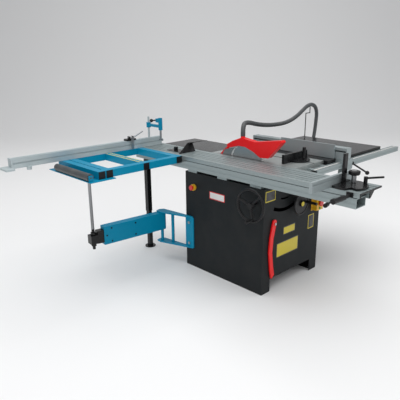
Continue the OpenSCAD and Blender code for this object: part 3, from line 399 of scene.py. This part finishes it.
def blade_finish():
    """Ground plate and carbide teeth: the distance from the arbor in the blade's plane gives fine
    grinding rings and paler tips."""
    mat = bpy.data.materials.new("blade_plate")
    mat.use_nodes = True
    t = mat.node_tree
    shader = t.nodes["Principled BSDF"]
    co = add(t, "ShaderNodeTexCoord")
    m = add(t, "ShaderNodeMapping", {"Vector": co.outputs["Object"], "Location": ARBOR_AT})
    xyz = add(t, "ShaderNodeSeparateXYZ", {0: m.outputs[0]})
    flat = add(t, "ShaderNodeCombineXYZ", {"Y": xyz.outputs["Y"], "Z": xyz.outputs["Z"]})
    r = add(t, "ShaderNodeVectorMath", {0: flat.outputs[0]}, operation="LENGTH")
    rings = add(t, "ShaderNodeTexNoise", {"W": r.outputs["Value"], "Scale": 900.0, "Detail": 4.0},
                noise_dimensions="1D")
    tip = add(t, "ShaderNodeMapRange", {"Value": r.outputs["Value"], "From Min": TIP_START,
                                        "From Max": TIP_END, "To Min": 0.0, "To Max": 1.0})
    base = add(t, "ShaderNodeMix", data_type="RGBA")
    t.links.new(rings.outputs["Fac"], base.inputs[0])
    base.inputs[6].default_value = (0.42, 0.43, 0.44, 1)
    base.inputs[7].default_value = (0.66, 0.67, 0.68, 1)
    top = add(t, "ShaderNodeMix", data_type="RGBA")
    t.links.new(tip.outputs[0], top.inputs[0])
    t.links.new(base.outputs[2], top.inputs[6])
    top.inputs[7].default_value = (0.80, 0.78, 0.72, 1)
    t.links.new(top.outputs[2], shader.inputs["Base Color"])
    rr = add(t, "ShaderNodeMapRange", {"Value": rings.outputs["Fac"], "From Min": 0.0,
                                       "From Max": 1.0, "To Min": 0.2, "To Max": 0.42})
    t.links.new(rr.outputs[0], shader.inputs["Roughness"])
    shader.inputs["Metallic"].default_value = 1.0
    b = add(t, "ShaderNodeBump", {"Height": rings.outputs["Fac"], "Strength": 0.1,
                                  "Distance": 0.0002})
    t.links.new(b.outputs[0], shader.inputs["Normal"])
    return mat


def groove_shaded(name, base, pitch, share):
    """A finish with narrow dark lines along Y, at an even pitch in X, over a base finish: the lines are
    painted shade that stands in for the grooves' recesses.
    """
    mat = base.copy()
    mat.name = name
    t = mat.node_tree
    shader = t.nodes["Principled BSDF"]
    colour = shader.inputs["Base Color"].links[0].from_socket
    co = add(t, "ShaderNodeTexCoord")
    xyz = add(t, "ShaderNodeSeparateXYZ", {0: co.outputs["Object"]})
    k = add(t, "ShaderNodeMath", {0: xyz.outputs["X"], 1: 1 / pitch}, operation="MULTIPLY")
    w = add(t, "ShaderNodeMath", {0: k.outputs[0]}, operation="FRACT")
    mask = add(t, "ShaderNodeMath", {0: w.outputs[0], 1: share}, operation="LESS_THAN")
    mix = add(t, "ShaderNodeMix", data_type="RGBA")
    t.links.new(mask.outputs[0], mix.inputs[0])
    t.links.new(colour, mix.inputs[6])
    # the lines' colour is painted shade, where the inside of each groove would fall dark
    mix.inputs[7].default_value = (0.17, 0.20, 0.20, 1)
    t.links.new(mix.outputs[2], shader.inputs["Base Color"])
    return mat


def scale_finish(name, axis, pitch, colour=(0.70, 0.70, 0.68)):
    """A measuring strip: dark lines at an even pitch along an axis, every fifth line heavier."""
    mat = bpy.data.materials.new(name)
    mat.use_nodes = True
    t = mat.node_tree
    shader = t.nodes["Principled BSDF"]
    co = add(t, "ShaderNodeTexCoord")
    xyz = add(t, "ShaderNodeSeparateXYZ", {0: co.outputs["Object"]})
    marks = []
    for step, share in ((pitch, 0.14), (pitch * 5, 0.06)):
        k = add(t, "ShaderNodeMath", {0: xyz.outputs[axis], 1: 1 / step}, operation="MULTIPLY")
        w = add(t, "ShaderNodeMath", {0: k.outputs[0]}, operation="FRACT")
        marks.append(add(t, "ShaderNodeMath", {0: w.outputs[0], 1: share}, operation="LESS_THAN"))
    both = add(t, "ShaderNodeMath", {0: marks[0].outputs[0], 1: marks[1].outputs[0]},
               operation="MAXIMUM")
    mix = add(t, "ShaderNodeMix", data_type="RGBA")
    t.links.new(both.outputs[0], mix.inputs[0])
    mix.inputs[6].default_value = (*colour, 1)
    mix.inputs[7].default_value = (0.03, 0.03, 0.03, 1)
    t.links.new(mix.outputs[2], shader.inputs["Base Color"])
    shader.inputs["Roughness"].default_value = 0.4
    return mat


GROOVE_PITCH, GROOVE_SHARE = 0.060, 0.04
MARK_PITCH = 0.005
F["blade_steel"] = blade_finish()
F["groove_shade_table"] = groove_shaded("groove_shade_table", F["anodised"], GROOVE_PITCH, GROOVE_SHARE)
F["scale_x"] = scale_finish("scale_along_x", "X", MARK_PITCH)
F["scale_y"] = scale_finish("scale_along_y", "Y", MARK_PITCH, (0.78, 0.66, 0.10))

slot_of = {s["node"]: s["material_slot"] for s in frame["record"]["subparts"]}


def paint(obj, key):
    """Gives a piece or node one finish in place of those it has."""
    obj.data.materials.clear()
    obj.data.materials.append(F[key])


for node_name, node_obj in nodes.items():
    paint(node_obj, slot_of[node_name])
# the sliding table's grooves are shown by painted shade lines
paint(nodes["sliding_table"], "groove_shade_table")
paint(nodes["support_roller"], "hose_plastic")


def placed(obj, body, finish):
    """Gives a new piece its finish and the body it rides on."""
    paint(obj, finish)
    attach(obj, body)
    return obj


# ---------------------------------------------------------------- hose
HOSE_ROUTE = [
    (-95, 17, 1024.3), (-95, 17, 1045), (-91, 20, 1068), (-78, 28, 1090), (-52, 42, 1104),
    (-10, 58, 1106), (60, 80, 1096), (150, 105, 1076), (260, 130, 1056), (380, 155, 1040),
    (510, 178, 1030), (640, 198, 1028), (760, 214, 1042), (860, 224, 1070), (940, 229, 1106),
    (1005, 231, 1134), (1065, 231, 1143), (1118, 231, 1126), (1152, 232, 1086), (1166, 235, 1030),
    (1166, 240, 940), (1158, 246, 840), (1140, 256, 730), (1110, 270, 610), (1066, 290, 490),
    (1004, 316, 370), (920, 346, 260), (812, 378, 160), (684, 406, 90), (540, 430, 46),
    (400, 448, 27), (270, 462, 30), (190, 468, 60), (144, 471, 104), (112, 472, 130),
    (92, 472, 140), (78.3, 472, 140),
]


HOSE_CORE = 0.0157  # radius between the ribs
RIB_HEIGHT, RIB_PITCH = 0.0012, 0.007
CUFF_RADIUS, CUFF_LENGTH = 0.0169, 0.03
HOSE_SIDES = 14
RING_STEP, PATH_STEP = 0.00175, 0.02  # between the hose's rings, and between its path's points


def make_hose():
    """The ribbed hose: a tube along the route with a round rib at every pitch of its length and a
    plain cuff at each end."""
    route = np.array(HOSE_ROUTE) / 1000
    line, length = smooth_line(route, RING_STEP)
    line = np.clip(line, route.min(0), route.max(0))  # the curve's overshoot is held in
    s = np.linspace(0, length, len(line))
    rib = 0.5 + 0.5 * np.cos(2 * np.pi * s / RIB_PITCH)
    cuff = np.minimum(s, length - s) < CUFF_LENGTH
    radii = np.where(cuff, CUFF_RADIUS, HOSE_CORE + RIB_HEIGHT * rib)
    hose = swept("hose", line, radii, HOSE_SIDES)
    placed(hose, "machine", "hose_plastic")
    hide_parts("extraction_hose")


make_hose()


# ---------------------------------------------------------------- softened CAD shapes
def softened(node, width, finish=None):
    """A copy of a CAD solid with its flat faces joined up and its edges rounded by a bevel, which
    stands in for the sharp solid."""
    src = nodes[node]
    obj = bpy.data.objects.new(node + "_finished", src.data.copy())
    bpy.context.scene.collection.objects.link(obj)
    bm = bmesh.new()
    bm.from_mesh(obj.data)
    bmesh.ops.remove_doubles(bm, verts=bm.verts, dist=2e-6)
    bmesh.ops.dissolve_limit(bm, angle_limit=math.radians(0.5), verts=bm.verts, edges=bm.edges)
    shade_smooth(bm, CAD_SMOOTH_LIMIT)
    bm.to_mesh(obj.data)
    bm.free()
    bevel = obj.modifiers.new("edges", "BEVEL")
    bevel.width = width
    bevel.segments = 2
    bevel.limit_method = "ANGLE"
    bevel.angle_limit = BEVEL_LIMIT
    bevel.harden_normals = True
    placed(obj, src["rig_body"], finish or slot_of[node])
    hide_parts(node)


# the CAD nodes shown with rounded edges, and the width of each one's bevel
SOFT = [
    ("blade_guard", 0.003), ("swing_arm", 0.003), ("arm_bracket", 0.002), ("outrigger_frame", 0.0025),
    ("rip_fence_body", 0.0012), ("crosscut_fence", 0.0012), ("rip_carriage", 0.0015),
    ("clamp_arm", 0.0015), ("stop_head", 0.0012), ("mitre_table", 0.001), ("rear_leg", 0.002),
    ("push_stick", 0.002), ("switch_boxes", 0.003), ("end_plugs", 0.0008), ("edging_shoe", 0.0006),
    ("arm_slide", 0.002), ("push_handle", 0.003), ("mitre_gauge_head", 0.001),
    ("emergency_button", 0.003), ("stop_button", 0.001), ("start_button", 0.0015),
    ("rip_rail", 0.0008), ("mitre_fence", 0.0008), ("rip_fence_plate", 0.001),
]
SOFT_FINISH = {"rip_fence_body": "cross_grain", "rip_fence_plate": "cross_grain",
               "crosscut_fence": "pale_fence"}
for soft_node, bevel_width in SOFT:
    softened(soft_node, bevel_width, SOFT_FINISH.get(soft_node))


# ---------------------------------------------------------------- turned pieces
def knob_profile(r, h):
    """A knob: a domed top falling to a waisted skirt."""
    skirt = [(r * 0.55, 0), (r * 0.8, h * 0.06), (r * 0.97, h * 0.3)]
    dome = [
        (r - 0.25 * r * (1 - math.sin(a)), h - 0.3 * h * (1 - math.cos(a)))
        for a in np.linspace(np.pi / 2, 0, 8)
    ]
    return skirt + dome + [(r * 0.12, h)]


def band(name, centre, axis, r, width, body):
    """A hose clip: a thin band round the hose with rolled edges, and its screw housing."""
    w = width / 2
    prof = [(r, -w), (r + 0.0012, -w), (r + 0.0016, -w * 0.8), (r + 0.001, -w * 0.5),
            (r + 0.001, w * 0.5), (r + 0.0016, w * 0.8), (r + 0.0012, w), (r, w)]
    placed(turned(name, centre, axis, prof), body, "zinc_steel")
    d, s, t = axes_for(axis)
    at = np.array(centre) + s * (r + 0.004)
    placed(turned(name + "_screw", at - t * 0.009, t, [(0.0035, 0), (0.004, 0.001), (0.004, 0.014),
                                                       (0.0048, 0.0145), (0.0048, 0.018)], 12),
           body, "zinc_steel")


band("clip_at_port", (0.0935, 0.472, 0.140), (1, 0, 0), 0.0172, 0.012, "machine")


def cap_screw(name, at, out, r, body, finish="painted_black"):
    """A socket cap screw's head: a chamfered cylinder with a sunk socket."""
    prof = [(r, 0), (r, 0.7 * r), (0.85 * r, 0.85 * r), (0.5 * r, 0.85 * r), (0.45 * r, 0.3 * r)]
    placed(turned(name, at, out, prof, 24), body, finish)


ARM_PIVOT = (-0.395, 0.590)
ARM_ANGLE = math.radians(180 - 5.7)
ARM_FACE = -0.0301  # the arm's front face, from its middle line, just proud of the solid
ARM_HALF_WIDTH = 0.03
ARM_SCREW_RADIUS = 0.0055
# each screw's distance along the arm and its height
ARM_SCREWS = [(0.46, 0.275), (0.46, 0.375), (0.26, 0.28), (0.26, 0.37), (0.50, 0.325)]
arm_x, arm_y = math.cos(ARM_ANGLE), math.sin(ARM_ANGLE)
for number, (along, height) in enumerate(ARM_SCREWS, 1):
    place = (
        ARM_PIVOT[0] + arm_x * along + ARM_HALF_WIDTH * -arm_y,
        ARM_PIVOT[1] + arm_y * along + ARM_FACE,
        height,
    )
    cap_screw(f"arm_screw_{number}", place, (-0.0993, -0.995, 0), ARM_SCREW_RADIUS, "swing_arm")

# the support rod is bright steel, so a turned sleeve of its own covers the dark solid's rod
ROD_FOOT = (-0.985, 0.649, 0.3905)
ROD_PROFILE = [(0.0112, 0), (0.0118, 0.001), (0.0118, 0.004), (0.0111, 0.005), (0.0111, 0.394),
               (0.0135, 0.395), (0.0135, 0.4), (0.0112, 0.401)]
placed(turned("support_rod", ROD_FOOT, (0, 0, 1), ROD_PROFILE, 40), "arm_slide", "machined_steel")

BOX_FACE = -0.4208  # Y of the switch boxes' front
BOX_SCREW_RADIUS = 0.0024
BOX_SCREWS = [(0.230, 0.493), (0.300, 0.493), (0.230, 0.597), (0.300, 0.597)]
for number, (x, z) in enumerate(BOX_SCREWS):
    cap_screw(f"switch_screw_{number}", (x, BOX_FACE, z), (0, -1, 0), BOX_SCREW_RADIUS, "machine",
              "zinc_steel")


def make_mitre_knob():
    """The knob on the mitre table: a fluted grip with eight lobes stands in for the plain solid,
    on a stem and under a cap of steel."""
    low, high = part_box("mitre_knob")
    x, y = (low.x + high.x) / 2, (low.y + high.y) / 2
    grip = turned("fluted_knob", (x, y, high.z - 0.026), (0, 0, 1), knob_profile(0.0335, 0.0258),
                  sides=96, lobes=8, depth=0.035)
    placed(grip, "mitre_knob", "black_plastic")
    stem = [(0.0079, 0), (0.0079, 0.009), (0.014, 0.0095), (0.014, 0.044), (0.012, 0.052)]
    placed(turned("knob_stem", (x, y, low.z), (0, 0, 1), stem), "mitre_knob", "machined_steel")
    cap = [(0.017, 0), (0.017, 0.0008), (0.015, 0.0014), (0.003, 0.0015)]
    placed(turned("knob_cap", (x, y, high.z - 0.0016), (0, 0, 1), cap), "mitre_knob",
           "machined_steel")
    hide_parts("mitre_knob")


make_mitre_knob()


# ---------------------------------------------------------------- plates and scales
FRONT_FACE = -0.376  # Y of the cabinet's front
LEFT_FACE = -0.327  # X of the cabinet's left side
BORDER = 0.006
# name, centre, outward direction, width, height, the inset panel's finish and the border's
LABELS = [
    ("maker_badge", (LEFT_FACE, 0.047, 0.616), (-1, 0, 0), 0.150, 0.056, "sticker_white", "red_plastic"),
    ("warning_upper", (-0.038, FRONT_FACE, 0.4125), (0, -1, 0), 0.137, 0.059, "sticker_yellow",
     "sticker_dark"),
    ("warning_lower", (-0.050, FRONT_FACE, 0.2835), (0, -1, 0), 0.251, 0.107, "sticker_yellow",
     "sticker_dark"),
    ("dark_plate", (0.227, FRONT_FACE, 0.403), (0, -1, 0), 0.072, 0.106, "sticker_dark",
     "sticker_yellow"),
    ("lift_plate", (-0.261, FRONT_FACE, 0.6965), (0, -1, 0), 0.104, 0.073, "sticker_dark",
     "sticker_yellow"),
]


def label(name, centre, out, width, height, finish, border):
    """A plain plate on a face, with an inset panel of a second colour."""
    out = np.array(out, float)
    back, panel = 0.0005, 0.0003  # thicknesses
    placed(plate(name, centre, out, (0, 0, 1), width, height, back), "machine", border)
    placed(plate(name + "_panel", np.array(centre) + out * back, out, (0, 0, 1), width - 2 * BORDER,
                 height - 2 * BORDER, panel, 0.003), "machine", finish)


for entry in LABELS:
    label(*entry)
placed(plate("vent_screen", (0.3215, 0, 0.309), (1, 0, 0), (0, 0, 1), 0.30, 0.20, 0.002), "machine",
       "black_plastic")
LIFT_HUB = (0.01904, -0.4391, 0.5947)
HUB_PROFILE = [(0.0165, 0), (0.0165, 0.0006), (0.0155, 0.001), (0.002, 0.001)]
placed(turned("lift_hub_plate", LIFT_HUB, (0, -1, 0), HUB_PROFILE), "lift_wheel", "sticker_yellow")
STRIP_THICK, STRIP_CORNER = 0.0002, 0.001
placed(plate("rip_scale", (0.5925, -0.5175, 0.848), (0, 0, 1), (0, 1, 0), 1.17, 0.016, STRIP_THICK,
             STRIP_CORNER), "machine", "scale_x")
for number, x in enumerate((-0.705, -0.671)):
    placed(plate(f"rail_strip_{number}", (x - 0.0005, 0.638, 0.870), (0, 0, 1), (0, 1, 0), 0.010, 0.418,
                 STRIP_THICK, STRIP_CORNER), "sliding_carriage", "scale_y")


# ---------------------------------------------------------------- floor and light
FLOOR_NEAR, FLOOR_FAR, FLOOR_SIDE = -14, 6, 16.0  # the flat part's ends and half its width
SWEEP_RADIUS, BACKDROP_TOP = 4, 12
# the floor runs along the camera's forward line, seen from above
FLOOR_ALONG, FLOOR_ACROSS = np.array([0.6886, 0.7252]), np.array([0.7252, -0.6886])


def lay_floor():
    """A pale floor that curves up into a backdrop far behind the machine."""
    a = np.linspace(0, np.pi / 2, 16)
    far = FLOOR_FAR + SWEEP_RADIUS
    y = np.concatenate([[FLOOR_NEAR, FLOOR_FAR], FLOOR_FAR + SWEEP_RADIUS * np.sin(a), [far]])
    z = np.concatenate([[0, 0], SWEEP_RADIUS - SWEEP_RADIUS * np.cos(a), [BACKDROP_TOP]])
    pts = np.zeros((len(y), 2, 3))
    for column, x in enumerate((-FLOOR_SIDE, FLOOR_SIDE)):
        pts[:, column, :2] = y[:, None] * FLOOR_ALONG + x * FLOOR_ACROSS
        pts[:, column, 2] = z
    floor = grid_mesh("floor", pts)
    floor.data.flip_normals()
    mat = bpy.data.materials.new("pale_floor")
    mat.use_nodes = True
    shader = mat.node_tree.nodes["Principled BSDF"]
    shader.inputs["Base Color"].default_value = (0.86, 0.86, 0.86, 1)
    shader.inputs["Roughness"].default_value = 0.7
    floor.data.materials.append(mat)


lay_floor()


def soft_light(name, at, aim, size, power):
    """A square area light aimed at a point; its size is in metres and its power in watts."""
    lamp = bpy.data.lights.new(name, "AREA")
    lamp.size = size
    lamp.energy = power
    obj = bpy.data.objects.new(name, lamp)
    bpy.context.scene.collection.objects.link(obj)
    obj.matrix_world = Matrix.Translation(at) @ (
        (Vector(aim) - Vector(at)).to_track_quat("-Z", "Y").to_matrix().to_4x4()
    )


soft_light("key", (-4.0, -3.0, 3.6), (0, 0, 0.6), 2.4, 60)
soft_light("fill", (2.5, -4.5, 2.2), (0, 0, 0.6), 3.0, 30)
soft_light("top", (0, 0.4, 7.0), (0, 0, 0), 9.0, 480)
world = bpy.data.worlds.new("studio")
bpy.context.scene.world = world
world.use_nodes = True
world.node_tree.nodes["Background"].inputs["Color"].default_value = (0.97, 0.98, 1.0, 1)
world.node_tree.nodes["Background"].inputs["Strength"].default_value = 0.38
bpy.context.scene.view_settings.view_transform = "Standard"
